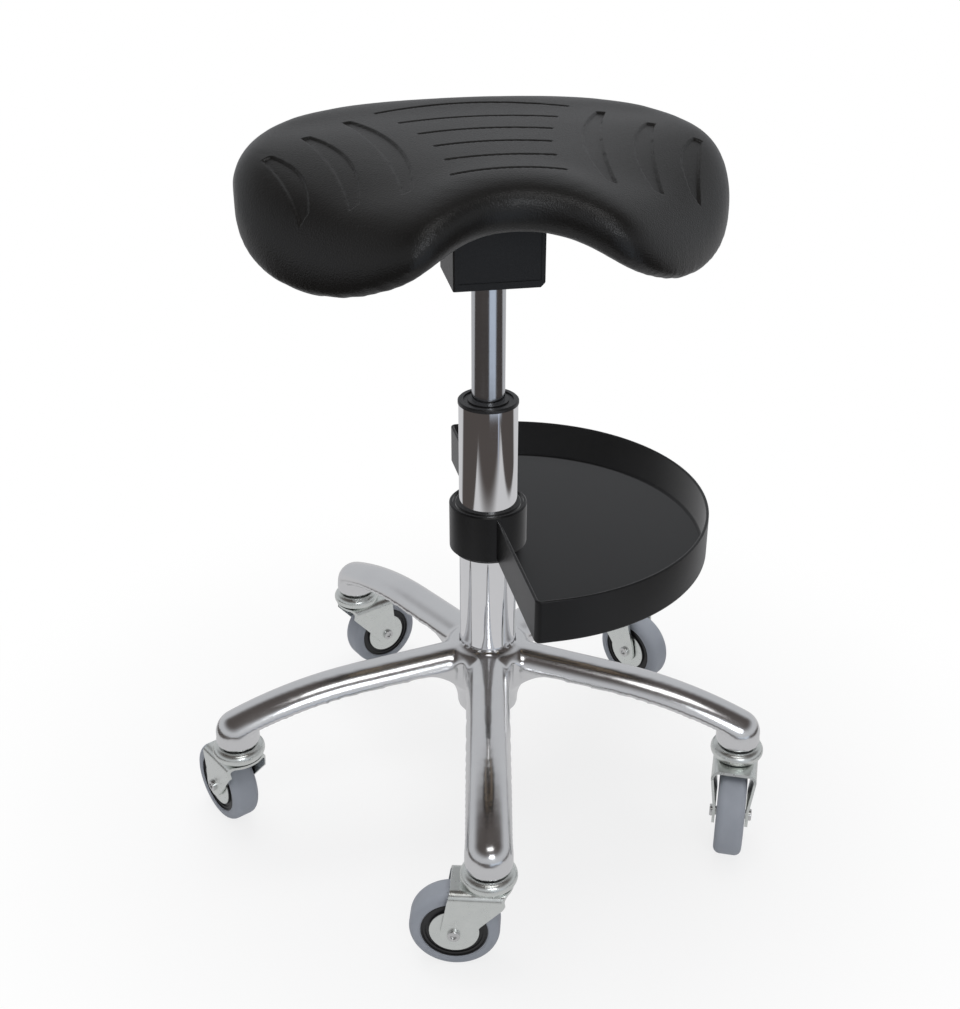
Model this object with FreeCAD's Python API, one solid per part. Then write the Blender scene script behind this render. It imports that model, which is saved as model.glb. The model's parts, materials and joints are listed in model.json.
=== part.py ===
# Saddle stool on a five-leg castor base, with a gas lift, a turning seat and a swing tray.
# Frame: the origin is on the floor under the column, +Z is up and -Y is the front.
# The stool stands as in the photograph: seat raised, seat and tray turned a little to one side.
import FreeCAD, Part
import math
import os
from FreeCAD import Rotation, Vector

os.makedirs("parts", exist_ok=True)

# Castors
wheel_diameter = 73.0
wheel_width = 24.4
tyre_depth = 9.5
tyre_shoulder = 6.2
web_recess = 1.6
guard_diameter = 40.0
guard_thickness = 0.9
axle_diameter = 8.0
axle_head_diameter = 10.4
axle_head_height = 2.6
fork_sheet = 2.4
fork_gap = 1.1
fork_crown_gap = 5.6
fork_top_half_width = 19.6
fork_front = -20.0
ear_radius = 11.0
castor_trail = 26.9
drum_diameter = 45.8
drum_height = 11.6
stem_diameter = 11.0
stem_insert_length = 22.0
neck_gap = 1.5
swivel_ball_diameter = 2.0
swivel_ball_count = 12
castor_turns = [176.5, -102.1, -44.7, 35.5, 128.5]

# Star base
foot_height = 95.0
foot_circle_radius = 231.5
leg_width = 38.8
leg_crown = 17.6
leg_wall = 4.0
leg_root_height = 46.0
leg_slope_deg = 3.7
leg_bend_start = 120.0
leg_bend_radius = 351.0
leg_count = 5
first_leg_deg = -90.0
hub_rise = 60.5
hub_drop = 7.0
hub_radius = 27.5
gusset_reach = 70.0
crotch_radius = 9.0
sleeve_wall = 2.4

# Column and gas lift
column_diameter = 50.0
column_wall = 1.5
column_top = 388.7
column_bottom = 91.0
column_floor = 3.0
cap_diameter = 51.2
cap_height = 3.2
bush_length = 90.0
cylinder_diameter = 28.0
cylinder_wall = 2.5
cylinder_bottom = 219.0
rod_diameter = 10.0
rod_top = 284.0
piston_height = 12.0
race_height = 2.6
ball_diameter = 4.0
ball_count = 10
race_radius = 10.5
buffer_height = 14.0
lift_drop = 100.0

# Seat mechanism
seat_turn_deg = 10.3
box_height = 65.0
box_half_width = 34.0
box_half_depth = 33.0
box_side_bulge = 5.0
box_chamfer = 4.0
box_frame = 3.6
cover_screw_diameter = 6.4
cover_screw_spacing = 40.0
box_wall = 2.2
channel_sheet = 3.0
channel_half_width = 28.0
plate_width = 140.0
plate_depth = 110.0
plate_thickness = 3.0
socket_wall = 4.5
socket_height = 41.0
cone_taper = 0.6
valve_diameter = 8.0
valve_rise = 5.0
valve_travel = 3.0
lever_pin_offset = 20.0
lever_pin_diameter = 5.0
lever_rod_diameter = 8.0
lever_blade_height = 4.0
lever_knee = 44.0
lever_knee_drop = 6.0
lever_reach = 125.0
lever_end_drop = 32.5
grip_length = 46.0
grip_width = 22.0
grip_thickness = 9.0

# Seat
board_bottom = 565.0
board_width = 230.0
board_depth = 150.0
board_thickness = 10.0
bolt_spacing_across = 110.0
bolt_spacing_deep = 80.0
bolt_diameter = 6.0
seat_half_width = 196.0
# The seat's plan from the back to the front: share of the half width, and place along the middle line
seat_outline = [(0, 126), (0.306, 126), (0.561, 119), (0.765, 101), (0.923, 66), (1.0, 15), (0.954, -23.5),
                (0.821, -65), (0.633, -106), (0.495, -128.5), (0.378, -137), (0.255, -128.5), (0.133, -116.5),
                (0, -112)]
seat_top = 608.5
seat_tilt = 0.074
side_fall = 11.3
lobe_fall = 109.0
lobe_start = 40.0
lobe_length = 160.0
under_tilt = 0.04
skirt_drop = 160.0
skirt_power = 2.16
skirt_depth = 245.0
seat_top_radius = 32.0
seat_under_radius = 28.0
seat_edge_share = 0.92

# Tray
tray_turn_deg = 12.3
tray_half_width = 167.5
tray_straight = 20.0
tray_round = 170.0
tray_bottom = 256.0
tray_height = 38.0
tray_wall = 2.6
tray_floor = 3.0
collar_diameter = 67.0
collar_bottom = 253.5
collar_top = 297.0
collar_recess = 2.4
liner_wall = 3.2
liner_flange = 2.0

# Fits
running_gap = 0.05
slip_gap = 0.3
stem_lift = 0.2

# Worked out from the values above
wheel_radius = wheel_diameter / 2
foot_radius = leg_width / 2
column_radius = column_diameter / 2
column_bore_radius = column_radius - column_wall
cylinder_radius = cylinder_diameter / 2
cylinder_bore_radius = cylinder_radius - cylinder_wall
cap_top = column_top + cap_height
hub_top = foot_height + hub_rise
hub_bottom = foot_height - hub_drop
plate_bottom = board_bottom - plate_thickness
box_bottom = plate_bottom - box_height
socket_bottom = box_bottom + box_wall + channel_sheet
cylinder_top = socket_bottom + socket_height
lever_blade_bottom = cylinder_top + valve_rise + slip_gap
lever_pin_height = lever_blade_bottom + lever_blade_height / 2
lever_end_height = lever_pin_height - lever_end_drop
seat_points = [(share * seat_half_width, v) for share, v in seat_outline]

# Where the middle of a quarter arc lies, as a share of its radius from the corner of its square
arc_share = 1 - math.sqrt(0.5)


def cylinder(radius, low, high, x=0.0, y=0.0):
    return Part.makeCylinder(radius, high - low, Vector(x, y, low))


def tube(outer, inner, low, high, x=0.0, y=0.0):
    return cylinder(outer, low, high, x, y).cut(cylinder(inner, low - 1, high + 1, x, y))


def block(x_low, x_high, y_low, y_high, z_low, z_high):
    return Part.makeBox(x_high - x_low, y_high - y_low, z_high - z_low, Vector(x_low, y_low, z_low))


def face_of(points):
    return Part.Face(Part.makePolygon(points + [points[0]]))


def spun(outline, axis=Vector(0, 0, 1)):
    """A solid of revolution about Z from (radius, height) points."""
    return face_of([Vector(r, 0, z) for r, z in outline]).revolve(Vector(0, 0, 0), axis, 360)


def edge_face(edges):
    return Part.Face(Part.Wire(edges))


def line(a, b):
    return Part.LineSegment(a, b).toShape()


def arc(a, middle, b):
    return Part.Arc(a, middle, b).toShape()


def turned(shape, degrees, x=0.0, y=0.0):
    copy = shape.copy()
    copy.rotate(Vector(0, 0, 0), Vector(0, 0, 1), degrees)
    copy.translate(Vector(x, y, 0))
    return copy


def save(name, shapes):
    solids = []
    for shape in shapes if isinstance(shapes, list) else [shapes]:
        solids += shape.Solids
    part = solids[0] if len(solids) == 1 else Part.makeCompound(solids)
    part.exportStep("parts/" + name + ".step")
    print(name, len(solids), round(sum(s.Volume for s in solids) / 1000, 2), part.isValid())


# Star base


def leg_angles():
    return [first_leg_deg + k * 360.0 / leg_count for k in range(leg_count)]


def foot_centres():
    return [(foot_circle_radius * math.cos(math.radians(a)), foot_circle_radius * math.sin(math.radians(a)))
            for a in leg_angles()]


def leg_stations():
    """Points of the leg's lower edge: the root, the start of the bend, its centre and its end."""
    slope = math.radians(leg_slope_deg)
    root = Vector(0, 0, foot_height + leg_root_height)
    bend = root + Vector(leg_bend_start, 0, -leg_bend_start * math.tan(slope))
    centre = bend - Vector(math.sin(slope), 0, math.cos(slope)) * leg_bend_radius
    end_angle = math.asin((foot_circle_radius - centre.x) / leg_bend_radius)
    end = centre + Vector(math.sin(end_angle), 0, math.cos(end_angle)) * leg_bend_radius
    return root, bend, centre, end, slope, end_angle


def leg_solid(half_width, height):
    """A leg of one section, an arch on a flat lower edge, run straight, then bent, then domed at the toe."""
    root, bend, centre, end, slope, end_angle = leg_stations()

    def station(at, angle, from_middle):
        up = Vector(math.sin(angle), 0, math.cos(angle))
        side = Vector(0, half_width, 0)
        crest = at + up * height
        drop = (half_width ** 2 - height ** 2) / (2 * height)
        middle = at - up * drop
        shoulder = middle + (side * 0.6 + up * half_width * 0.8).normalize() * (height + drop)
        if from_middle:
            return edge_face([arc(at + side, shoulder, crest), line(crest, at), line(at, at + side)])
        return edge_face([arc(at + side, crest, at - side), line(at - side, at + side)])
    straight = station(root, slope, False).extrude(bend - root)
    bent = station(bend, slope, False).revolve(centre, Vector(0, 1, 0), math.degrees(end_angle - slope))
    up = Vector(math.sin(end_angle), 0, math.cos(end_angle))
    toe = station(end, end_angle, True).revolve(end, up, 360)
    return straight.fuse([bent, toe])


def foot_cup():
    """The upright round foot, cut off where the leg's domed end sits on it."""
    end, end_angle = leg_stations()[3], leg_stations()[5]
    cup = cylinder(foot_radius, foot_height, end.z + foot_radius, end.x, 0)
    above = Part.makeBox(4 * foot_radius, 4 * foot_radius, 4 * foot_radius,
                         Vector(-2 * foot_radius, -2 * foot_radius, 0))
    above.rotate(Vector(0, 0, 0), Vector(0, 1, 0), math.degrees(end_angle))
    above.translate(end)
    return cup.cut(above)


def hub_plan():
    """The plan of the hub: the roots of the legs with a rounded crotch between each two."""
    half_step = math.radians(180.0 / leg_count)
    half = foot_radius - 0.8
    to_centre = (half + crotch_radius) / math.sin(half_step)
    along = (half + crotch_radius) / math.tan(half_step)

    def polar(angle, distance, aside):
        a = math.radians(angle)
        return Vector(distance * math.cos(a) - aside * math.sin(a), distance * math.sin(a) + aside * math.cos(a), 0)
    edges = []
    for angle in leg_angles():
        after = angle + 360.0 / leg_count
        edges.append(line(polar(angle, along, -half), polar(angle, gusset_reach, -half)))
        edges.append(line(polar(angle, gusset_reach, -half), polar(angle, gusset_reach, half)))
        edges.append(line(polar(angle, gusset_reach, half), polar(angle, along, half)))
        middle = polar((angle + after) / 2, to_centre - crotch_radius, 0)
        edges.append(arc(polar(angle, along, half), middle, polar(after, along, -half)))
    return edge_face(edges)


def star_base():
    leg = leg_solid(foot_radius, leg_crown)
    hollow = leg_solid(foot_radius - leg_wall, leg_crown - leg_wall)
    hollow_end = foot_circle_radius - foot_radius - 2
    hollow = hollow.common(block(gusset_reach - leg_wall, hollow_end, -leg_width, leg_width, 0, 2 * hub_top))
    leg = leg.fuse(foot_cup()).cut(hollow)
    root_height = foot_height + leg_root_height - 3
    gusset_middle = Vector(hub_radius + (gusset_reach - hub_radius) * arc_share, 0,
                           root_height - (root_height - hub_bottom) * arc_share)
    gusset = arc(Vector(hub_radius, 0, hub_bottom), gusset_middle, Vector(gusset_reach, 0, root_height))
    shoulder = Vector(hub_radius + 17, 0, root_height + 5)
    rim = Vector(hub_radius + 5.5, 0, hub_top)
    bell = edge_face([line(Vector(0, 0, hub_bottom), Vector(hub_radius, 0, hub_bottom)), gusset,
                      line(Vector(gusset_reach, 0, root_height), shoulder), line(shoulder, rim),
                      line(rim, Vector(0, 0, hub_top)), line(Vector(0, 0, hub_top), Vector(0, 0, hub_bottom))])
    bell = bell.revolve(Vector(0, 0, 0), Vector(0, 0, 1), 360)
    plan = hub_plan()
    plan.translate(Vector(0, 0, hub_bottom - 5))
    hub = bell.common(plan.extrude(Vector(0, 0, hub_rise + hub_drop + 20)))
    flare = 6.0
    lip_radius = column_radius + slip_gap
    lip = edge_face([line(Vector(0, 0, hub_top - 8), Vector(lip_radius + flare, 0, hub_top - 8)),
                     line(Vector(lip_radius + flare, 0, hub_top - 8), Vector(lip_radius + flare, 0, hub_top)),
                     arc(Vector(lip_radius + flare, 0, hub_top),
                         Vector(lip_radius + flare * arc_share, 0, hub_top + flare * arc_share),
                         Vector(lip_radius, 0, hub_top + flare)),
                     line(Vector(lip_radius, 0, hub_top + flare), Vector(0, 0, hub_top + flare)),
                     line(Vector(0, 0, hub_top + flare), Vector(0, 0, hub_top - 8))])
    lip = lip.revolve(Vector(0, 0, 0), Vector(0, 0, 1), 360)
    star = hub.fuse([turned(leg, a) for a in leg_angles()] + [lip])
    star = star.cut(cylinder(column_radius, hub_bottom - 1, hub_top + 40))
    sleeve_radius = stem_diameter / 2 + running_gap + sleeve_wall
    sockets = [cylinder(sleeve_radius, foot_height - 1, foot_height + stem_insert_length, x, y)
               for x, y in foot_centres()]
    return star.cut(Part.makeCompound(sockets)).removeSplitter()


def make_base():
    save("star_base", star_base())
    sleeve_inner = stem_diameter / 2 + running_gap
    save("castor_sleeves", [tube(sleeve_inner + sleeve_wall, sleeve_inner, foot_height,
                                 foot_height + stem_insert_length, x, y) for x, y in foot_centres()])
    shell = tube(column_radius, column_bore_radius, column_bottom, column_top)
    end_plate = tube(column_bore_radius, rod_diameter / 2 + running_gap, column_bottom, column_bottom + column_floor)
    save("column_tube", shell.fuse(end_plate).removeSplitter())
    bore = cylinder_radius + running_gap
    bush_outer = column_bore_radius - running_gap
    groove = 1.2
    save("guide_bush", spun([(bore, column_top - bush_length), (bush_outer, column_top - bush_length),
                             (bush_outer, column_top), (cap_diameter / 2, column_top),
                             (cap_diameter / 2, cap_top - 1), (cap_diameter / 2 - 1, cap_top),
                             (cap_diameter / 2 - 4.5, cap_top), (cap_diameter / 2 - 4.5, cap_top - groove),
                             (bore + 3.2, cap_top - groove), (bore + 3.2, cap_top), (bore, cap_top)]))
    low = column_bottom + column_floor
    save("lower_race", tube(race_radius + 4, rod_diameter / 2 + slip_gap, low, low + race_height))


# Parts that turn with the seat and stay at the bottom of the column


def make_lift_rod():
    low = column_bottom + column_floor + race_height
    balls = []
    for k in range(ball_count):
        a = 2 * math.pi * k / ball_count
        centre = Vector(race_radius * math.cos(a), race_radius * math.sin(a), low + ball_diameter / 2)
        balls.append(Part.makeSphere(ball_diameter / 2, centre))
    save("thrust_balls", balls)
    upper = low + ball_diameter
    rod_radius = rod_diameter / 2
    save("upper_race", tube(race_radius + 4, rod_radius, upper, upper + race_height))
    save("rubber_buffer", tube(rod_radius + 5.5, rod_radius, upper + race_height, upper + race_height + buffer_height))
    clip_height = 2.0
    rod_end = column_bottom - clip_height - 3
    piston_low = rod_top - piston_height
    piston = cylinder(cylinder_bore_radius - running_gap, piston_low, rod_top)
    piston = piston.cut(tube(cylinder_bore_radius + 1, cylinder_bore_radius - 1.6, piston_low + 4, piston_low + 8))
    clip_top = column_bottom - slip_gap
    groove = tube(rod_radius + 1, rod_radius - 1, clip_top - clip_height, clip_top)
    save("piston_rod", cylinder(rod_radius, rod_end, piston_low + 1).fuse(piston).cut(groove).removeSplitter())
    clip = tube(rod_radius + 4, rod_radius - 1, clip_top - clip_height, clip_top)
    slot = block(0, rod_radius + 6, -rod_radius * 0.6, rod_radius * 0.6, column_bottom - 20, column_bottom + 5)
    save("rod_clip", clip.cut(slot))


# Seat mechanism


def lever_line():
    """Points along the lever's rod in the seat's own frame, from the pivot out to the grip."""
    pivot = Vector(-lever_pin_offset, 0, lever_pin_height)
    knee = Vector(-lever_pin_offset - lever_knee, 0, lever_pin_height - lever_knee_drop)
    end = Vector(-lever_reach, 0, lever_end_height)
    return pivot, knee, end


def make_mechanism():
    radius = cylinder_radius
    tip = radius - cone_taper
    bore = cylinder_bore_radius
    closed = cylinder_top - 13
    pin_bore = valve_diameter / 2 + running_gap
    body = spun([(bore, cylinder_bottom), (radius, cylinder_bottom), (radius, socket_bottom), (tip, cylinder_top - 1),
                 (tip - 1, cylinder_top), (pin_bore, cylinder_top), (pin_bore, closed), (bore, closed)])
    save("gas_cylinder", seat_turned(body))
    save("rod_guide", seat_turned(tube(bore - running_gap, rod_diameter / 2 + running_gap,
                                       cylinder_bottom, cylinder_bottom + 18)))
    sleeve = spun([(radius, socket_bottom), (radius + socket_wall, socket_bottom),
                   (radius + socket_wall, cylinder_top - 2), (tip + cone_taper * 0.05, cylinder_top - 2)])
    save("taper_socket", seat_turned(sleeve))
    low = box_bottom + box_wall
    half = channel_half_width
    long_half = box_half_width - box_wall - slip_gap
    channel = block(-long_half, long_half, -half, half, low, plate_bottom)
    channel = channel.cut(block(-long_half - 1, long_half + 1, -half + channel_sheet, half - channel_sheet,
                                low + channel_sheet, plate_bottom + 1))
    channel = channel.cut(cylinder(radius + slip_gap, low - 1, low + channel_sheet + 1))
    pin = lever_pin_solid(lever_pin_diameter / 2)
    save("mechanism_channel", seat_turned(channel.cut(pin)))
    save("lever_pin", seat_turned(pin))
    plate = block(-plate_width / 2, plate_width / 2, -plate_depth / 2, plate_depth / 2, plate_bottom, board_bottom)
    corners = [e for e in plate.Edges if abs(e.tangentAt(e.FirstParameter).z) > 0.9]
    plate = plate.makeFillet(12, corners)
    holes = [cylinder(bolt_diameter / 2 + slip_gap, plate_bottom - 1, board_bottom + 1, x, y) for x, y in bolt_places()]
    save("seat_plate", seat_turned(plate.cut(Part.makeCompound(holes))))
    save("housing_cover", seat_turned(housing_cover()))
    screws = []
    for side in (-1, 1):
        at = Vector(side * cover_screw_spacing / 2, box_half_depth, box_bottom + box_height / 4)
        screws.append(Part.makeCylinder(cover_screw_diameter / 2, 1.4, at, Vector(0, 1, 0)))
    save("cover_screws", [seat_turned(s) for s in screws])
    valve_low = closed + 1
    save("valve_pin", seat_turned(cylinder(valve_diameter / 2, valve_low, cylinder_top + valve_rise)))


def lever_pin_solid(radius):
    long = channel_half_width + 1.5
    return Part.makeCylinder(radius, 2 * long, Vector(-lever_pin_offset, -long, lever_pin_height), Vector(0, 1, 0))


def housing_cover():
    """The moulded cover round the mechanism, open at the top, with a framed front."""
    left, right, deep = -box_half_width, box_half_width + box_side_bulge, box_half_depth
    shell = block(left, right, -deep, deep, box_bottom, plate_bottom)
    lower = [e for e in shell.Edges if abs(e.tangentAt(e.FirstParameter).y) > 0.9
             and e.BoundBox.ZMax < box_bottom + 1 and e.BoundBox.XMin > 0]
    shell = shell.makeChamfer(box_chamfer, lower)
    upright = [e for e in shell.Edges if abs(e.tangentAt(e.FirstParameter).z) > 0.9]
    shell = shell.makeFillet(1.6, upright)
    inner = block(left + box_wall, right - box_chamfer, -deep + box_wall, deep - box_wall,
                  box_bottom + box_wall, plate_bottom + 1)
    shell = shell.cut(inner)
    shell = shell.cut(cylinder(cylinder_radius + 1.5, box_bottom - 1, box_bottom + box_wall + 1))
    panel = block(left + box_frame, right - box_frame, -deep - 1, -deep + 0.7, box_bottom + box_frame + 2,
                  plate_bottom - box_frame)
    slot = block(left - 1, left + box_wall + 1, -7, 7, lever_blade_bottom - 16, plate_bottom - 4)
    return shell.cut(panel).cut(slot)


def bolt_places():
    return [(sx * bolt_spacing_across / 2, sy * bolt_spacing_deep / 2) for sx in (-1, 1) for sy in (-1, 1)]


def make_lever():
    pivot, knee, end = lever_line()
    blade_half = 6.0
    blade = block(-lever_pin_offset - 6, 6, -blade_half, blade_half, lever_blade_bottom,
                  lever_blade_bottom + lever_blade_height)
    boss = Part.makeCylinder(5.2, 2 * blade_half, pivot - Vector(0, blade_half, 0), Vector(0, 1, 0))
    rod_radius = lever_rod_diameter / 2
    start = pivot - Vector(3, 0, 0)
    bend = Part.makeSphere(rod_radius, knee)
    rod = rod_between(start, knee, rod_radius).fuse([rod_between(knee, end, rod_radius), bend])
    half_long = channel_half_width
    hole = Part.makeCylinder(lever_pin_diameter / 2 + running_gap, 2 * half_long, pivot - Vector(0, half_long, 0),
                             Vector(0, 1, 0))
    save("release_lever", seat_turned(blade.fuse([boss, rod]).cut(hole).removeSplitter()))
    run = end - knee
    run.normalize()
    side = Vector(0, 1, 0)
    up = run.cross(side)
    corner = end - run * grip_length * 0.5 - side * grip_width / 2 - up * grip_thickness / 2
    edges = [corner, corner + side * grip_width, corner + side * grip_width + run * grip_length,
             corner + run * grip_length]
    grip = face_of(edges).extrude(up * grip_thickness)
    thick = [e for e in grip.Edges if abs(e.tangentAt(e.FirstParameter).dot(up)) > 0.9]
    grip = grip.makeFillet(7, thick)
    rims = [e for e in grip.Edges if abs(e.tangentAt((e.FirstParameter + e.LastParameter) / 2).dot(up)) < 0.1]
    grip = grip.makeFillet(2.5, rims)
    save("lever_grip", seat_turned(grip.cut(rod_between(knee, end, rod_radius))))


def rod_between(a, b, radius):
    return Part.makeCylinder(radius, (b - a).Length, a, b - a)


# Seat board and pad


def seat_turned(shape):
    return turned(shape, seat_turn_deg)


def board_solid(grow, low, high):
    half_x = board_width / 2 + grow
    half_y = board_depth / 2 + grow
    board = block(-half_x, half_x, -half_y, half_y, low, high)
    return board.makeFillet(30 + grow, [e for e in board.Edges if abs(e.tangentAt(e.FirstParameter).z) > 0.9])


def crown_height(u, v):
    """The top of the pad before its edge is rounded: level behind, falling to two lobes in front."""
    side = (u / seat_half_width) ** 2
    ahead = max(0.0, lobe_start - v) / lobe_length
    return seat_top + seat_tilt * v - side_fall * side - lobe_fall * side * ahead ** 2


def under_height(u, v):
    """The underside: flat in the middle, with skirts that hang lower at the sides and in front."""
    depth = max(0.0, seat_points[0][1] - v) / skirt_depth
    skirt = abs(u / seat_half_width) ** skirt_power
    return board_bottom + under_tilt * v - skirt_drop * skirt * depth ** 2


def seat_plan():
    right = [Vector(u, v, 0) for u, v in seat_points]
    left = [Vector(-u, v, 0) for u, v in seat_points[-2:0:-1]]
    curve = Part.BSplineCurve()
    curve.interpolate(right + left, True)
    return Part.Face(Part.Wire([curve.toShape()]))


def roll(distance, radius):
    """How far a rounded edge of this radius has fallen at a distance inside the outline."""
    inside = max(0.0, radius - distance)
    return radius - math.sqrt(radius ** 2 - inside ** 2)


def seat_ring(u, plan):
    """Points round a front-to-back section of the pad, with its top and under edges rounded."""
    chord = line(Vector(u, -seat_half_width, 0), Vector(u, seat_half_width, 0)).common(plan)
    ends = [vertex.Y for vertex in chord.Vertexes]
    front, back = min(ends), max(ends)
    count = 10
    upper, lower = [], []
    for j in range(count + 1):
        v = front + (back - front) * (1 - math.cos(math.pi * j / count)) / 2
        inside = plan.OuterWire.distToShape(Part.Vertex(u, v, 0))[0]
        top, under = crown_height(u, v), under_height(u, v)
        share = min(1.0, seat_edge_share * (top - under) / (seat_top_radius + seat_under_radius))
        upper.append(Vector(u, v, top - roll(inside, share * seat_top_radius)))
        lower.append(Vector(u, v, under + roll(inside, share * seat_under_radius)))
    return upper + [(upper[-1] + lower[-1]) / 2] + lower[::-1] + [(upper[0] + lower[0]) / 2]


def seat_pad():
    plan = seat_plan()
    count = 12
    widths = [seat_half_width * math.sin(math.pi / 2 * k / count) for k in range(1 - count, count)]
    rings = [seat_ring(u, plan) for u in widths]
    middle = rings[count - 1]
    places = [0.0]
    for here, after in zip(middle, middle[1:] + middle[:1]):
        places.append(places[-1] + (after - here).Length)
    wires = []
    for ring in rings:
        curve = Part.BSplineCurve()
        curve.interpolate(Points=ring, PeriodicFlag=True, Parameters=places)
        wires.append(Part.Wire([curve.toShape()]))
    pad = Part.makeLoft(wires, True)
    return pad.cut(board_solid(slip_gap, board_bottom - 60, board_bottom + board_thickness))


def make_seat():
    board = board_solid(0, board_bottom, board_bottom + board_thickness)
    insert_radius = bolt_diameter / 2 + 2
    wells = [cylinder(insert_radius, board_bottom - 1, board_bottom + board_thickness - 1, x, y)
             for x, y in bolt_places()]
    save("seat_board", seat_turned(board.cut(Part.makeCompound(wells))))
    inserts = [tube(insert_radius, bolt_diameter / 2, board_bottom, board_bottom + board_thickness - 1, x, y)
               for x, y in bolt_places()]
    save("board_inserts", [seat_turned(i) for i in inserts])
    bolts = []
    for x, y in bolt_places():
        shank = cylinder(bolt_diameter / 2 - running_gap, plate_bottom - 1, board_bottom + board_thickness - 2, x, y)
        head = cylinder(bolt_diameter, plate_bottom - 4, plate_bottom, x, y)
        socket = cylinder(bolt_diameter * 0.4, plate_bottom - 5, plate_bottom - 2, x, y)
        bolts.append(seat_turned(shank.fuse(head).cut(socket)))
    save("seat_bolts", bolts)
    save("seat_pad", seat_turned(seat_pad()))


# Tray


def tray_plan(inset):
    """The D of the tray in its own frame: +X is outward, the straight wall lies on X = 0."""
    half = tray_half_width - inset
    start = tray_straight
    reach = tray_round - inset
    if reach > half:
        curve = Part.Ellipse(Vector(reach, 0, 0), Vector(0, half, 0), Vector(0, 0, 0)).toShape(-math.pi / 2, math.pi / 2)
    else:
        curve = Part.Ellipse(Vector(0, half, 0), Vector(reach, 0, 0), Vector(0, 0, 0)).toShape(-math.pi, 0)
    curve.translate(Vector(start, 0, 0))
    return edge_face([curve, line(Vector(start, half, 0), Vector(inset, half, 0)),
                      line(Vector(inset, half, 0), Vector(inset, -half, 0)),
                      line(Vector(inset, -half, 0), Vector(start, -half, 0))])


def tray_block(inset, low, high, corner):
    plan = tray_plan(inset)
    plan.translate(Vector(0, 0, low))
    solid = plan.extrude(Vector(0, 0, high - low))
    upright = [e for e in solid.Edges if abs(e.tangentAt(e.FirstParameter).z) > 0.9 and e.BoundBox.XMax < inset + 1]
    return solid.makeFillet(corner, upright)


def make_tray():
    tray_top = tray_bottom + tray_height
    shell = tray_block(0, tray_bottom, tray_top, 5.0)
    base_rim = [e for e in shell.Edges if e.BoundBox.ZMax < tray_bottom + 0.01]
    shell = shell.makeFillet(2.0, base_rim)
    hollow = tray_block(tray_wall, tray_bottom + tray_floor, tray_top + 5, 3.0)
    floor_rim = [e for e in hollow.Edges if e.BoundBox.ZMax < tray_bottom + tray_floor + 0.01]
    hollow = hollow.makeFillet(2.4, floor_rim)
    shell = shell.cut(hollow)
    rims = [e for e in shell.Edges if e.BoundBox.ZMin > tray_top - 0.01]
    shell = shell.makeFillet(1.0, rims)
    liner_radius = column_radius + running_gap + liner_wall
    bore = liner_radius + running_gap
    collar_radius = collar_diameter / 2
    collar = spun([(1, collar_bottom), (collar_radius - 1, collar_bottom), (collar_radius, collar_bottom + 1),
                   (collar_radius, collar_top - 1.2), (collar_radius - 1.2, collar_top), (1, collar_top)])
    collar = collar.fuse(cylinder(1, collar_bottom, collar_top))
    tray = shell.fuse(collar).cut(cylinder(bore, collar_bottom - 1, collar_top + 1))
    tray = tray.cut(cylinder(bore + collar_recess, collar_top - 3, collar_top + 1))
    save("tray", turned(tray.removeSplitter(), tray_turn_deg))
    inner = column_radius + running_gap
    save("tray_liner", spun([(inner, collar_bottom - liner_flange), (liner_radius + 2.4, collar_bottom - liner_flange),
                             (liner_radius + 2.4, collar_bottom), (liner_radius, collar_bottom),
                             (liner_radius, collar_top - 0.8), (liner_radius - 0.8, collar_top), (inner, collar_top)]))


# Castors, each made about its own swivel axis with the wheel trailing along +X


def fork_channel():
    """The pressed channel seen from behind: a flat crown, rounded shoulders and legs that close in."""
    crown = wheel_diameter + fork_crown_gap + fork_sheet
    inner_low = wheel_width / 2 + fork_gap
    low = wheel_radius + 10

    def profile(inset):
        top = crown - inset
        wide = fork_top_half_width - inset
        narrow = inner_low + fork_sheet - inset
        corner = 7.0 - inset
        right = [Vector(0, wide - corner, top), Vector(0, wide - corner * arc_share, top - corner * arc_share),
                 Vector(0, wide, top - corner), Vector(0, narrow, low), Vector(0, narrow, 0)]
        left = [Vector(0, -p.y, p.z) for p in right]
        return edge_face([line(left[0], right[0]), arc(right[0], right[1], right[2]), line(right[2], right[3]),
                          line(right[3], right[4]), line(right[4], left[4]), line(left[4], left[3]),
                          line(left[3], left[2]), arc(left[2], left[1], left[0])])
    sheet = profile(0).cut(profile(fork_sheet))
    sheet.translate(Vector(-40, 0, 0))
    return sheet.extrude(Vector(120, 0, 0)), crown


def fork_side():
    """The fork seen from the side: a broad crown that narrows to a round ear at the axle."""
    ahead = -drum_diameter
    crown = wheel_diameter + fork_crown_gap + fork_sheet + 1
    back = castor_trail + 2.5
    axle = Vector(castor_trail, 0, wheel_radius)
    lower = math.radians(205.0)
    tangent = axle + Vector(math.cos(lower), 0, math.sin(lower)) * ear_radius
    brow = Vector(fork_front + 3, 0, crown - 9)
    edges = [line(Vector(ahead, 0, crown), Vector(ahead, 0, brow.z)), line(Vector(ahead, 0, brow.z), brow),
             arc(brow, Vector(brow.x + 10, 0, brow.z - 12), tangent),
             arc(tangent, axle - Vector(0, 0, ear_radius), axle + Vector(ear_radius, 0, 0)),
             line(axle + Vector(ear_radius, 0, 0), Vector(back + 2.5, 0, crown - 9)),
             line(Vector(back + 2.5, 0, crown - 9), Vector(back, 0, crown)),
             line(Vector(back, 0, crown), Vector(ahead, 0, crown))]
    side = edge_face(edges)
    side.translate(Vector(0, -60, 0))
    return side.extrude(Vector(0, 120, 0))


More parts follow.
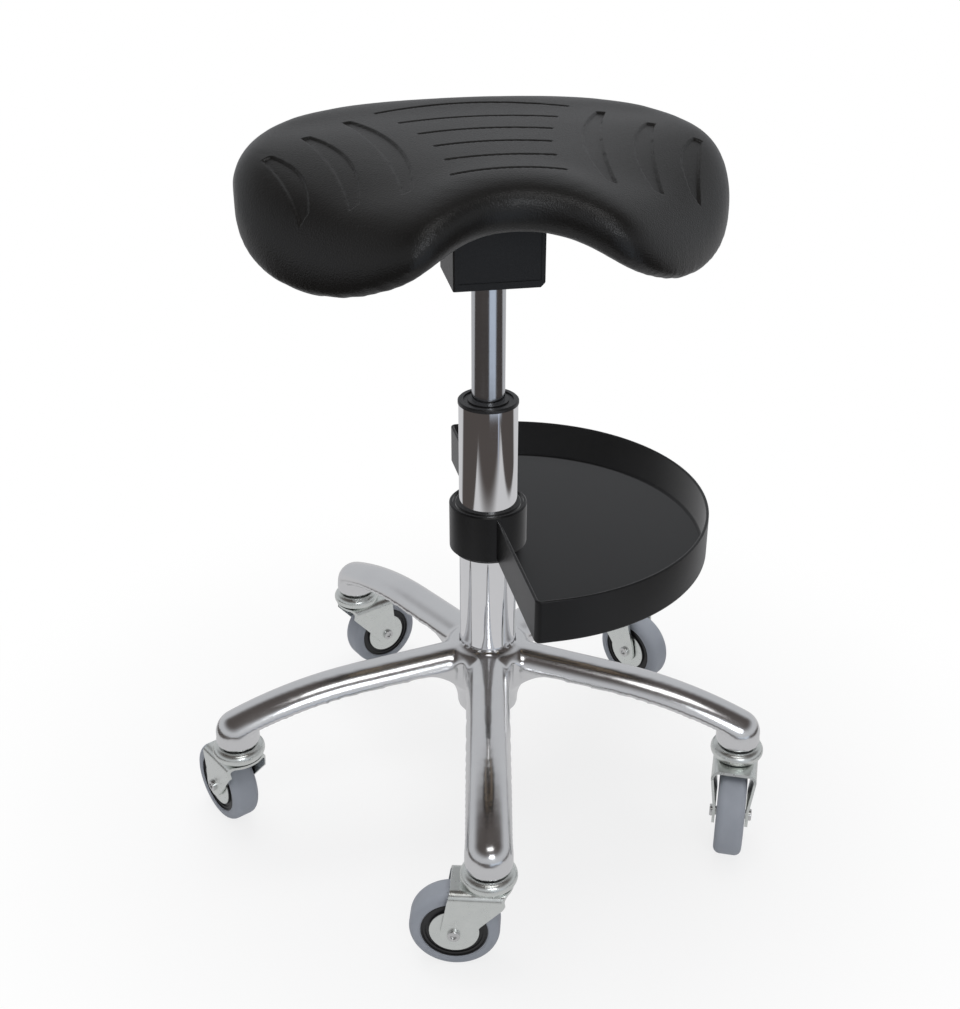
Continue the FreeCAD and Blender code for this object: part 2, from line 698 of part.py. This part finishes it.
def drum_solid(crown, drum_top):
    """The round bearing housing that stands on the fork's crown, bulged like a bead."""
    outer = drum_diameter / 2
    low = drum_top - drum_height
    foot = Vector(outer - 9, 0, crown - fork_sheet / 2)
    neck = Vector(outer - 3, 0, low)
    rim = Vector(outer - 5.4, 0, drum_top)
    edges = [line(Vector(0, 0, foot.z), foot), line(foot, Vector(foot.x, 0, low)), line(Vector(foot.x, 0, low), neck),
             arc(neck, Vector(outer, 0, low + drum_height * 0.48), rim), line(rim, Vector(0, 0, drum_top)),
             line(Vector(0, 0, drum_top), Vector(0, 0, foot.z))]
    return edge_face(edges).revolve(Vector(0, 0, 0), Vector(0, 0, 1), 360)


def fork_solid():
    channel, crown = fork_channel()
    nose = fork_top_half_width * 1.3
    middle = fork_front + nose
    plan = cylinder(nose, 0, crown + 10, middle).fuse(block(middle, 80, -nose, nose, 0, crown + 10))
    drum_top = foot_height - neck_gap
    fork = channel.common(fork_side()).common(plan).fuse(drum_solid(crown, drum_top))
    inner = stem_diameter / 2 + running_gap
    cavity_depth = race_height + swivel_ball_diameter + 2 * running_gap - stem_lift
    fork = fork.cut(cylinder(inner, crown - 30, drum_top + 1))
    fork = fork.cut(cylinder(inner + 9, drum_top - cavity_depth, drum_top + 1))
    hole = Part.makeCylinder(axle_diameter / 2, 80, Vector(castor_trail, -40, wheel_radius), Vector(0, 1, 0))
    return fork.cut(hole).removeSplitter()


def axle_solid():
    reach = wheel_width / 2 + fork_gap + fork_sheet
    radius = axle_diameter / 2
    bolt = Part.makeCylinder(radius, 2 * reach, Vector(0, -reach, 0), Vector(0, 1, 0))
    head = Part.makeCylinder(axle_head_diameter / 2, axle_head_height, Vector(0, -reach - axle_head_height, 0),
                             Vector(0, 1, 0))
    head = head.makeFillet(1.0, [e for e in head.Edges if e.BoundBox.YMax < -reach - axle_head_height + 0.01])
    socket = Part.makeCylinder(axle_head_diameter * 0.24, 1.6, Vector(0, -reach - axle_head_height - 0.1, 0),
                               Vector(0, 1, 0))
    nut = head.mirror(Vector(0, 0, 0), Vector(0, 1, 0))
    other = socket.mirror(Vector(0, 0, 0), Vector(0, 1, 0))
    bolt = bolt.fuse([head, nut]).cut(socket.fuse(other)).removeSplitter()
    bolt.translate(Vector(castor_trail, 0, wheel_radius))
    return bolt


def wheel_spun(outline):
    """A wheel piece from (radius, half width) points of its right half, mirrored and spun about the axle."""
    points = [Vector(r, w, 0) for r, w in outline] + [Vector(r, -w, 0) for r, w in reversed(outline)]
    solid = face_of(points).revolve(Vector(0, 0, 0), Vector(0, 1, 0), 360)
    solid.translate(Vector(castor_trail, 0, wheel_radius))
    return solid


def tyre_solid():
    half = wheel_width / 2
    inner = wheel_radius - tyre_depth
    shoulder = tyre_shoulder
    low = Vector(inner, half - 1, 0)
    side = Vector(inner + 1, half, 0)
    start = Vector(wheel_radius - shoulder, half, 0)
    middle = Vector(wheel_radius - shoulder * arc_share, half - shoulder * arc_share, 0)
    top = Vector(wheel_radius, half - shoulder, 0)

    def other(p):
        return Vector(p.x, -p.y, 0)
    edges = [line(low, side), line(side, start), arc(start, middle, top), line(top, other(top)),
             arc(other(top), other(middle), other(start)), line(other(start), other(side)),
             line(other(side), other(low)), line(other(low), low)]
    tyre = edge_face(edges).revolve(Vector(0, 0, 0), Vector(0, 1, 0), 360)
    tyre.translate(Vector(castor_trail, 0, wheel_radius))
    return tyre


def rim_solid():
    half = wheel_width / 2
    outer = wheel_radius - tyre_depth
    bore = axle_diameter / 2 + running_gap
    guard = guard_diameter / 2
    hub = half - guard_thickness - 0.2
    return wheel_spun([(bore, hub), (guard + 0.6, hub), (guard + 0.6, half - web_recess - 1.0),
                       (guard + 3.4, half - web_recess - 1.0), (guard + 3.4, half - web_recess),
                       (outer - 1.2, half - web_recess), (outer - 1.2, half - 0.6), (outer, half - 1.0)])


def guard_solids():
    """The two plated discs that cover the ends of the wheel hub."""
    half = wheel_width / 2
    low = half - guard_thickness - 0.2
    bore = axle_diameter / 2 + running_gap
    outer = guard_diameter / 2
    guards = []
    for side in (-1, 1):
        points = [(bore, low), (outer, low), (outer, low + guard_thickness * 0.6),
                  (outer - 1.4, low + guard_thickness), (bore, low + guard_thickness)]
        disc = face_of([Vector(r, side * w, 0) for r, w in points]).revolve(Vector(0, 0, 0), Vector(0, 1, 0), 360)
        disc.translate(Vector(castor_trail, 0, wheel_radius))
        guards.append(disc)
    return guards


def make_castors():
    crown = wheel_diameter + fork_crown_gap
    drum_top = foot_height - neck_gap
    stem_radius = stem_diameter / 2
    rivet = 1.8
    top = foot_height + stem_insert_length - 1
    collar_low = drum_top + stem_lift
    rivet_top = crown - stem_lift
    stem = spun([(0, rivet_top - rivet), (stem_radius + 3, rivet_top - rivet), (stem_radius + 3, rivet_top),
                 (stem_radius, rivet_top), (stem_radius, collar_low), (stem_radius + 5.5, collar_low),
                 (stem_radius + 5.5, foot_height), (stem_radius, foot_height), (stem_radius, top - 1.5),
                 (stem_radius - 1.5, top), (0, top)])
    race = tube(stem_radius + 8.6, stem_radius, collar_low - race_height, collar_low)
    centres = foot_centres()
    save("castor_stems", [turned(stem, 0, x, y) for x, y in centres])
    save("swivel_races", [turned(race, 0, x, y) for x, y in centres])
    ball_radius = swivel_ball_diameter / 2
    ball_height = collar_low - race_height - running_gap - ball_radius
    ball_circle = stem_radius + 5.5
    balls = []
    for x, y in centres:
        for k in range(swivel_ball_count):
            a = 2 * math.pi * k / swivel_ball_count
            balls.append(Part.makeSphere(ball_radius, Vector(x + ball_circle * math.cos(a),
                                                             y + ball_circle * math.sin(a), ball_height)))
    save("swivel_balls", balls)
    pieces = {"fork": fork_solid(), "axle_bolt": axle_solid(), "tyre": tyre_solid(), "rim": rim_solid(),
              "hub_guards": guard_solids()}
    for number, ((x, y), turn) in enumerate(zip(centres, castor_turns), 1):
        for name, shape in pieces.items():
            shapes = shape if isinstance(shape, list) else [shape]
            save(name + "_" + str(number), [turned(s, turn, x, y) for s in shapes])


make_base()
make_lift_rod()
make_mechanism()
make_lever()
make_seat()
make_tray()
make_castors()
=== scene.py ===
import json
import math

import bmesh
import bpy
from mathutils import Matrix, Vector


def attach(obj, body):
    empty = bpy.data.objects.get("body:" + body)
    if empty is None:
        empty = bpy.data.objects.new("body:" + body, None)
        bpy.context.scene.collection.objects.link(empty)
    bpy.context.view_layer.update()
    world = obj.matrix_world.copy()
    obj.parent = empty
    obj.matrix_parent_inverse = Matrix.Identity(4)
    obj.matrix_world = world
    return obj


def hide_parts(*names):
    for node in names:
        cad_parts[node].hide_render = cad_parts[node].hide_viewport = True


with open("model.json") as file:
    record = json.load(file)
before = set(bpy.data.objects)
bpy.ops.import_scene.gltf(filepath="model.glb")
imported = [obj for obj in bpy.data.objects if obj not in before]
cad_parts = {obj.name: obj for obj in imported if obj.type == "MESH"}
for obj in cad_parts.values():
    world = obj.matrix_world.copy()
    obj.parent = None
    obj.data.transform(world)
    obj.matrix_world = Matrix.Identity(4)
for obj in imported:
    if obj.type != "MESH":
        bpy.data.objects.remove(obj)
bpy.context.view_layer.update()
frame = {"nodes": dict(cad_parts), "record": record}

# Sizes and places in metres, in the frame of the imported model
SEAT_TURN = math.radians(10.3)

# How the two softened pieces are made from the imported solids
WELD = 1e-6
BASE_VOXEL = 0.0016
BASE_SOFTENING = 18
PAD_VOXEL = 0.004
PAD_SOFTENING = 14
PAD_DIVISIONS = 2
TOP_FACING = 0.4


class Value:
    """An output of a shader node, so that maths on it reads as it is written."""

    def __init__(self, finish, socket):
        self.finish = finish
        self.socket = socket

    def combine(self, operation, first, second):
        return self.finish.node("Math", {"operation": operation}, {0: first, 1: second})

    def __add__(self, other):
        return self.combine("ADD", self, other)

    def __radd__(self, other):
        return self.combine("ADD", other, self)

    def __sub__(self, other):
        return self.combine("SUBTRACT", self, other)

    def __rsub__(self, other):
        return self.combine("SUBTRACT", other, self)

    def __mul__(self, other):
        return self.combine("MULTIPLY", self, other)

    def __rmul__(self, other):
        return self.combine("MULTIPLY", other, self)

    def __abs__(self):
        return self.combine("ABSOLUTE", self, 0.0)

    def __lt__(self, other):
        return self.combine("LESS_THAN", self, other)

    def smooth(self, low, high):
        """0 below low, 1 above high, and a smooth step between."""
        return self.finish.node("MapRange", {"interpolation_type": "SMOOTHSTEP"},
                                {"Value": self, "From Min": low, "From Max": high})


class Nodes:
    """A tree of shader nodes, of a material or of the world."""

    def __init__(self, tree):
        self.tree = tree

    def node(self, kind, settings=None, sockets=None, output=0):
        made = self.tree.nodes.new("ShaderNode" + kind)
        for setting, value in (settings or {}).items():
            setattr(made, setting, value)
        for key, value in (sockets or {}).items():
            if isinstance(value, Value):
                self.tree.links.new(value.socket, made.inputs[key])
            else:
                made.inputs[key].default_value = value
        return Value(self, made.outputs[output])

    def place(self, turn=0.0, stretch=(1, 1, 1)):
        """Object coordinates, turned about Z and stretched."""
        point = self.node("TexCoord", output="Object")
        return self.node("Mapping", sockets={"Vector": point, "Rotation": (0, 0, turn), "Scale": stretch})

    def axis(self, name, turn=0.0):
        return self.node("SeparateXYZ", sockets={0: self.place(turn)}, output=name)

    def noise(self, scale, detail=3.0, rough=0.5, where=None):
        sockets = {"Vector": where or self.place(), "Scale": scale, "Detail": detail, "Roughness": rough}
        return self.node("TexNoise", sockets=sockets)

    def cells(self, scale):
        return self.node("TexVoronoi", sockets={"Vector": self.place(), "Scale": scale})

    def tint(self, mask, first, second):
        """The first colour where mask is 0 and the second where it is 1."""
        made = self.tree.nodes.new("ShaderNodeMix")
        made.data_type = "RGBA"
        for index, value in ((0, mask), (6, first), (7, second)):
            if isinstance(value, Value):
                self.tree.links.new(value.socket, made.inputs[index])
            else:
                made.inputs[index].default_value = (*value, 1) if index else value
        return Value(self, made.outputs[2])


class Finish(Nodes):
    """A material whose Principled shader has constants on its sockets and patterns linked to it."""

    def __init__(self, name, **constants):
        self.material = bpy.data.materials.new(name)
        self.material.use_nodes = True
        super().__init__(self.material.node_tree)
        self.shader = self.tree.nodes["Principled BSDF"]
        for socket, value in constants.items():
            self.shader.inputs[socket.replace("_", " ")].default_value = value

    def feed(self, **patterns):
        for socket, value in patterns.items():
            self.tree.links.new(value.socket, self.shader.inputs[socket.replace("_", " ")])
        return self

    def relief(self, height, depth, strength=1.0):
        """Raises and lowers the surface by a pattern of a real depth, in metres."""
        bump = self.node("Bump", sockets={"Height": height, "Distance": depth, "Strength": strength})
        return self.feed(Normal=bump)


# Finishes


def seat_skin():
    """Self-skinned black foam: a fine leather grain with slow changes of shade."""
    finish = Finish("seat_skin", Specular_IOR_Level=0.36)
    grain = finish.cells(780)
    pores = finish.noise(1500, 2)
    cloud = finish.noise(9, 3)
    finish.feed(Base_Color=finish.tint(cloud, (0.0052, 0.0050, 0.0047), (0.0092, 0.0088, 0.0082)),
                Roughness=0.30 + 0.07 * cloud + 0.05 * grain)
    return finish.relief(grain + 0.5 * pores, 0.00014)


def tray_black():
    finish = Finish("tray_black", Specular_IOR_Level=0.34)
    grain = finish.noise(1400, 3)
    cloud = finish.noise(14, 3)
    finish.feed(Base_Color=finish.tint(cloud, (0.0060, 0.0060, 0.0064), (0.0100, 0.0100, 0.0105)),
                Roughness=0.26 + 0.08 * cloud + 0.06 * grain)
    return finish.relief(grain, 0.00006)


def cover_black():
    finish = Finish("cover_black", Specular_IOR_Level=0.34)
    grain = finish.cells(1100)
    finish.feed(Base_Color=finish.tint(finish.noise(20), (0.0070, 0.0070, 0.0074), (0.0110, 0.0110, 0.0115)),
                Roughness=0.38 + 0.08 * grain)
    return finish.relief(grain, 0.00008)


def polished_aluminium():
    """Cast aluminium polished by hand: a slow waviness and very fine wheel marks."""
    finish = Finish("polished_aluminium", Metallic=1.0)
    marks = finish.noise(2600, 2, where=finish.place(stretch=(0.12, 0.12, 1)))
    cloud = finish.noise(22, 4)
    wave = finish.noise(60, 1)
    finish.feed(Base_Color=finish.tint(cloud, (0.74, 0.74, 0.75), (0.84, 0.84, 0.84)),
                Roughness=0.15 + 0.07 * cloud + 0.04 * marks)
    return finish.relief(0.12 * marks + wave, 0.00006)


def chrome():
    finish = Finish("chrome", Metallic=1.0)
    cloud = finish.noise(30, 4)
    finish.feed(Base_Color=finish.tint(cloud, (0.84, 0.84, 0.85), (0.90, 0.90, 0.91)),
                Roughness=0.035 + 0.04 * cloud)
    return finish


def ground_chrome():
    """The lift's cylinder: hard chrome on a ground tube, with faint lines round it."""
    finish = Finish("ground_chrome", Metallic=1.0)
    lines = finish.noise(900, 2, where=finish.place(stretch=(0.05, 0.05, 1)))
    finish.feed(Base_Color=finish.tint(finish.noise(25), (0.55, 0.56, 0.58), (0.62, 0.63, 0.65)),
                Roughness=0.13 + 0.08 * lines)
    return finish.relief(lines, 0.00001)


def cap_plating():
    finish = Finish("cap_plating", Metallic=0.6)
    lines = finish.noise(800, 2)
    finish.feed(Base_Color=finish.tint(lines, (0.035, 0.035, 0.037), (0.060, 0.060, 0.062)),
                Roughness=0.30 + 0.12 * lines)
    return finish


def zinc_plate():
    """Bright zinc: a pale metal with a faint mottle and a cold tint."""
    finish = Finish("zinc_plate", Metallic=1.0)
    mottle = finish.noise(160, 4, 0.6)
    spangle = finish.cells(420)
    finish.feed(Base_Color=finish.tint(mottle, (0.70, 0.73, 0.71), (0.84, 0.86, 0.83)),
                Roughness=0.20 + 0.14 * mottle + 0.05 * spangle)
    return finish.relief(mottle + 0.3 * spangle, 0.00004)


def bright_steel():
    finish = Finish("bright_steel", Metallic=1.0)
    mottle = finish.noise(300, 3)
    finish.feed(Base_Color=finish.tint(mottle, (0.60, 0.60, 0.60), (0.74, 0.74, 0.73)),
                Roughness=0.22 + 0.12 * mottle)
    return finish


def race_steel():
    finish = Finish("race_steel", Metallic=1.0)
    lines = finish.noise(700, 2)
    finish.feed(Base_Color=finish.tint(lines, (0.40, 0.40, 0.41), (0.50, 0.50, 0.51)),
                Roughness=0.3 + 0.1 * lines)
    return finish


def wheel_black():
    finish = Finish("wheel_black")
    grain = finish.noise(900, 3)
    finish.feed(Base_Color=finish.tint(grain, (0.012, 0.012, 0.013), (0.022, 0.022, 0.023)),
                Roughness=0.40 + 0.12 * grain)
    return finish.relief(grain, 0.00005)


def grey_tyre():
    """Blue-grey rubber, a little dusty, with fine mould texture."""
    finish = Finish("grey_tyre")
    dust = finish.noise(70, 4, 0.6)
    grain = finish.noise(1300, 3)
    finish.feed(Base_Color=finish.tint(dust, (0.330, 0.355, 0.400), (0.410, 0.435, 0.480)),
                Roughness=0.50 + 0.14 * dust)
    return finish.relief(grain, 0.00006)


def pale_sleeve():
    finish = Finish("pale_sleeve")
    cloud = finish.noise(60, 3)
    finish.feed(Base_Color=finish.tint(cloud, (0.56, 0.56, 0.54), (0.64, 0.64, 0.62)),
                Roughness=0.38 + 0.1 * cloud)
    return finish


def buffer_rubber():
    finish = Finish("buffer_rubber")
    grain = finish.noise(600, 3)
    finish.feed(Base_Color=finish.tint(grain, (0.012, 0.012, 0.012), (0.022, 0.022, 0.022)),
                Roughness=0.6 + 0.1 * grain)
    return finish.relief(grain, 0.00008)


def painted_steel():
    """Black powder coat with its orange-peel skin."""
    finish = Finish("painted_steel")
    peel = finish.noise(420, 2)
    finish.feed(Base_Color=finish.tint(peel, (0.014, 0.014, 0.014), (0.020, 0.020, 0.020)),
                Roughness=0.34 + 0.1 * peel)
    return finish.relief(peel, 0.00010)


def birch_board():
    """Plywood: long grain on the faces and thin dark glue lines on the edges."""
    finish = Finish("birch_board")
    grain = finish.noise(45, 5, 0.6, where=finish.place(-SEAT_TURN, (0.08, 1, 1)))
    ply = finish.node("Math", {"operation": "PINGPONG"}, {0: finish.axis("Z"), 1: 0.0007})
    glue = (ply < 0.00008) * 0.5
    wood = finish.tint(grain, (0.42, 0.30, 0.18), (0.58, 0.44, 0.29))
    finish.feed(Base_Color=finish.tint(glue, wood, (0.20, 0.13, 0.08)), Roughness=0.55 + 0.15 * grain)
    return finish.relief(grain, 0.00010)


FINISHES = {make.__name__: make().material for make in (
    seat_skin, tray_black, cover_black, polished_aluminium, chrome, ground_chrome, cap_plating, zinc_plate,
    bright_steel, race_steel, wheel_black, grey_tyre, pale_sleeve, buffer_rubber, painted_steel, birch_board)}

# Nodes whose finish differs from the rest of their material slot
OWN_FINISH = {"gas_cylinder": "ground_chrome", "tray_liner": "tray_black"}


def dress_nodes():
    """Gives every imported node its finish. The tray is left out of what the column mirrors."""
    for part in frame["record"]["subparts"]:
        node = frame["nodes"][part["node"]]
        name = OWN_FINISH.get(part["node"], part["material_slot"])
        for slot in node.material_slots:
            slot.material = FINISHES[name]
    frame["nodes"]["tray"].visible_glossy = False


# Pieces


def choose(piece):
    """Makes this the only selected object."""
    bpy.ops.object.select_all(action="DESELECT")
    piece.select_set(True)
    bpy.context.view_layer.objects.active = piece


def copy_node(node, name):
    """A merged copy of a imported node's mesh, as a new piece."""
    piece = bpy.data.objects.new(name, frame["nodes"][node].data.copy())
    bpy.context.scene.collection.objects.link(piece)
    mesh = bmesh.new()
    mesh.from_mesh(piece.data)
    bmesh.ops.remove_doubles(mesh, verts=mesh.verts, dist=WELD)
    mesh.to_mesh(piece.data)
    mesh.free()
    return piece


def shape(piece, kind, **settings):
    """Adds a modifier and applies it."""
    choose(piece)
    modifier = piece.modifiers.new(kind.lower(), kind)
    for setting, value in settings.items():
        setattr(modifier, setting, value)
    bpy.ops.object.modifier_apply(modifier=modifier.name)


def dress(piece, finish, body, slot, *nodes):
    """Gives a finished piece its finish, its body and the nodes that it replaces."""
    piece.data.materials.clear()
    piece.data.materials.append(FINISHES[finish])
    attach(piece, body)
    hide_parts(*nodes)


def star_base():
    """The casting: the legs flow into the hub, so the whole is remeshed and softened."""
    base = copy_node("star_base", "star_casting")
    shape(base, "REMESH", mode="VOXEL", voxel_size=BASE_VOXEL)
    shape(base, "SMOOTH", factor=0.5, iterations=BASE_SOFTENING)
    choose(base)
    bpy.ops.object.shade_smooth()
    dress(base, "polished_aluminium", "base", "polished_aluminium", "star_base")


# The seat's top: half length, place and backward bow of each cross groove, along the seat's own axes
GROOVES = ((0.0778, 0.0723, 0.0124), (0.0622, 0.0436, 0.0059), (0.0514, 0.0133, 0.0045),
           (0.0438, -0.0169, 0.0027), (0.0404, -0.0469, 0.0006), (0.0413, -0.0773, 0.0))
GROOVE_WIDTH = 0.0023
GROOVE_DEPTH = 0.0014

# The leaves: back end, front end, and how far the inner and the outer edge bow towards the seat's middle
LEAVES = (((0.1025, 0.0580), (0.0744, -0.0850), 0.0145, 0.0070),
          ((0.1365, 0.0310), (0.1118, -0.0775), 0.0125, 0.0050),
          ((0.1680, 0.0065), (0.1463, -0.0610), 0.0090, 0.0020))
LEAF_END = 0.0065
LEAF_DEPTH = 0.0017

# How wide the sloping wall of a groove or a leaf is
CRISP = 0.0012


def step(value, low, high):
    """0 below low, 1 above high, and a smooth step between."""
    share = min(max((value - low) / (high - low), 0.0), 1.0)
    return share * share * (3 - 2 * share)


def groove_distance(across, along, groove):
    """How far a point of the seat's plan is from a groove's line, which bows backwards."""
    half, place, bow = groove
    past = max(abs(across) - half, 0.0)
    line = place + bow * (1 - min(abs(across) / half, 1.0) ** 2)
    return math.hypot(past, along - line)


def leaf_inside(across, along, leaf):
    """How far inside a leaf's edge a point lies, negative outside it."""
    back, front, inner_bow, outer_bow = leaf
    chord = (front[0] - back[0], front[1] - back[1])
    length = math.hypot(*chord)
    way = (chord[0] / length, chord[1] / length)
    from_back = (across - back[0], along - back[1])
    travel = from_back[0] * way[0] + from_back[1] * way[1]
    inward = from_back[0] * way[1] - from_back[1] * way[0]
    swell = 1 - (2 * travel / length - 1) ** 2
    inner_edge = LEAF_END / 2 + inner_bow * swell
    outer_edge = outer_bow * swell - LEAF_END / 2
    return min(travel, length - travel, inner_edge - inward, inward - outer_edge)


def pattern_depth(across, along):
    """How deep the moulded pattern is at a point of the seat's plan."""
    depth = 0.0
    for groove in GROOVES:
        away = groove_distance(across, along, groove)
        outside = step(away, (GROOVE_WIDTH - CRISP) / 2, (GROOVE_WIDTH + CRISP) / 2)
        depth = max(depth, GROOVE_DEPTH * (1 - outside))
    for leaf in LEAVES:
        inside = leaf_inside(abs(across), along, leaf)
        depth = max(depth, LEAF_DEPTH * step(inside, -CRISP / 2, CRISP / 2))
    return depth


def seat_plan_place(point):
    """A point's place along the seat's own axes."""
    across = point.x * math.cos(SEAT_TURN) + point.y * math.sin(SEAT_TURN)
    along = point.y * math.cos(SEAT_TURN) - point.x * math.sin(SEAT_TURN)
    return across, along


def press_pattern(pad):
    """Presses the pattern into the top. The normals are read first, because each move renews them all."""
    normals = [vertex.normal.copy() for vertex in pad.data.vertices]
    for vertex, normal in zip(pad.data.vertices, normals):
        if normal.z > TOP_FACING:
            vertex.co -= normal * pattern_depth(*seat_plan_place(vertex.co))


def seat_pad():
    """The moulded pad: softened from its core shape, then its top is pressed with grooves and leaves."""
    pad = copy_node("seat_pad", "saddle_pad")
    shape(pad, "REMESH", mode="VOXEL", voxel_size=PAD_VOXEL)
    shape(pad, "SMOOTH", factor=0.5, iterations=PAD_SOFTENING)
    shape(pad, "SUBSURF", levels=PAD_DIVISIONS, render_levels=PAD_DIVISIONS)
    press_pattern(pad)
    choose(pad)
    bpy.ops.object.shade_smooth()
    dress(pad, "seat_skin", "seat", "seat_skin", "seat_pad")


# Stage, light and camera

# The pale sheet that metal mirrors, in metres from the column, and how soft its edges are
FLOOR_SIZE = 8
SHEET_FRONT = -0.57
SHEET_SIDES = (-0.50, 0.62)
SHEET_BACK = (0.25, 0.40)
FRONT_BLUR = 0.09
SIDE_BLUR = 0.02

# Two lights in the mirrored floor: radians to the right of the front, and metres from the column
WINDOW_LEFT = (0.02, 0.14)
WINDOW_RIGHT = (0.78, 0.98)
WINDOW_START = (0.86, 0.94)
STRIP_BEARING = 0.69
STRIP_WIDTH = (0.02, 0.07)


def stage():
    """A white floor. Metal mirrors a pale sheet, a dark room beyond it and the light of a window."""
    bpy.ops.object.select_all(action="DESELECT")
    bpy.ops.mesh.primitive_plane_add(size=1)
    floor = bpy.context.object
    floor.name = "floor"
    floor.scale = (FLOOR_SIZE, FLOOR_SIZE, 1)
    bpy.ops.object.transform_apply(location=False, rotation=False, scale=True)
    finish = Finish("pale_floor", Base_Color=(0.80, 0.80, 0.80, 1), Roughness=0.7)
    away = finish.node("VectorMath", {"operation": "LENGTH"}, {0: finish.place()}, output="Value")
    across = finish.axis("X")
    along = finish.axis("Y")
    left, right = SHEET_SIDES
    beyond_front = 1 - along.smooth(SHEET_FRONT - FRONT_BLUR, SHEET_FRONT + FRONT_BLUR)
    beyond_left = 1 - across.smooth(left - SIDE_BLUR, left + SIDE_BLUR)
    beyond_right = across.smooth(right - SIDE_BLUR, right + SIDE_BLUR)
    near = 1 - along.smooth(*SHEET_BACK)
    beyond = 1 - (1 - beyond_front) * (1 - beyond_left) * (1 - beyond_right)
    dark = beyond * near
    bearing = finish.node("Math", {"operation": "ARCTAN2"}, {0: across, 1: 0 - along})
    window = bearing.smooth(*WINDOW_LEFT) * (1 - bearing.smooth(*WINDOW_RIGHT)) * away.smooth(*WINDOW_START)
    strip = (1 - abs(bearing - STRIP_BEARING).smooth(*STRIP_WIDTH)) * beyond_front
    sheet = finish.tint(dark, (0.60, 0.60, 0.61), (0.080, 0.070, 0.066))
    lined = finish.tint(strip, sheet, (0.34, 0.37, 0.45))
    shown = finish.node("Emission", sockets={"Color": finish.tint(window, lined, (0.66, 0.74, 0.86))})
    white = finish.node("Emission", sockets={"Color": (1, 1, 1, 1)})
    diffuse = Value(finish, finish.shader.outputs[0])
    fade = 0.80 + 0.20 * away.smooth(0.20, 0.60)
    camera_ray = finish.node("LightPath", output="Is Camera Ray")
    glossy_ray = finish.node("LightPath", output="Is Glossy Ray")
    seen = finish.node("MixShader", sockets={0: camera_ray * fade, 1: diffuse, 2: white})
    mixed = finish.node("MixShader", sockets={0: glossy_ray, 1: seen, 2: shown})
    finish.tree.links.new(mixed.socket, finish.tree.nodes["Material Output"].inputs["Surface"])
    floor.data.materials.append(finish.material)


def studio():
    """A pale room that is dark overhead in front of the stool, and plain white where the camera sees it."""
    world = bpy.data.worlds.new("studio")
    bpy.context.scene.world = world
    world.use_nodes = True
    room = Nodes(world.node_tree)
    way = room.node("TexCoord", output="Generated")
    along = room.node("SeparateXYZ", sockets={0: way}, output="Y")
    height = room.node("SeparateXYZ", sockets={0: way}, output="Z")
    ceiling = (1 - along.smooth(0.20, 0.60)) * height.smooth(0.28, 0.72)
    walls = room.tint(ceiling, (0.56, 0.57, 0.59), (0.085, 0.074, 0.070))
    glossy_ray = room.node("LightPath", output="Is Glossy Ray")
    camera_ray = room.node("LightPath", output="Is Camera Ray")
    colour = room.tint(camera_ray, room.tint(glossy_ray, (0.34, 0.34, 0.35), walls), (1, 1, 1))
    room.tree.links.new(colour.socket, room.tree.nodes["Background"].inputs["Color"])


def softbox(name, place, aim, size, power, colour=(1, 1, 1), mirrored=True):
    light = bpy.data.lights.new(name, "AREA")
    light.shape = "RECTANGLE"
    light.size, light.size_y = size
    light.energy = power
    light.color = colour
    lamp = bpy.data.objects.new(name, light)
    lamp.location = place
    lamp.rotation_euler = (Vector(aim) - Vector(place)).to_track_quat("-Z", "Y").to_euler()
    lamp.visible_camera = False
    lamp.visible_glossy = mirrored
    bpy.context.scene.collection.objects.link(lamp)


def camera():
    lens = bpy.data.cameras.new("view")
    lens.lens = 50.0
    lens.sensor_width = 36.0
    view = bpy.data.objects.new("view", lens)
    view.location = (-0.00693, -1.06909, 0.85392)
    view.rotation_euler = (math.radians(62.296), 0, 0)
    bpy.context.scene.collection.objects.link(view)
    bpy.context.scene.camera = view


bpy.context.scene.view_settings.view_transform = "Standard"
dress_nodes()
star_base()
seat_pad()
stage()
studio()
softbox("window", (0.6, -2.4, 1.5), (0, 0, 0.4), (0.9, 0.6), 10, (0.93, 0.96, 1.0))
softbox("brow light", (0.22, -0.95, 2.0), (0, 0, 0.5), (0.9, 0.45), 4)
softbox("overhead", (-0.2, 0.5, 2.2), (0, 0, 0.4), (1.6, 1.6), 32, mirrored=False)
camera()
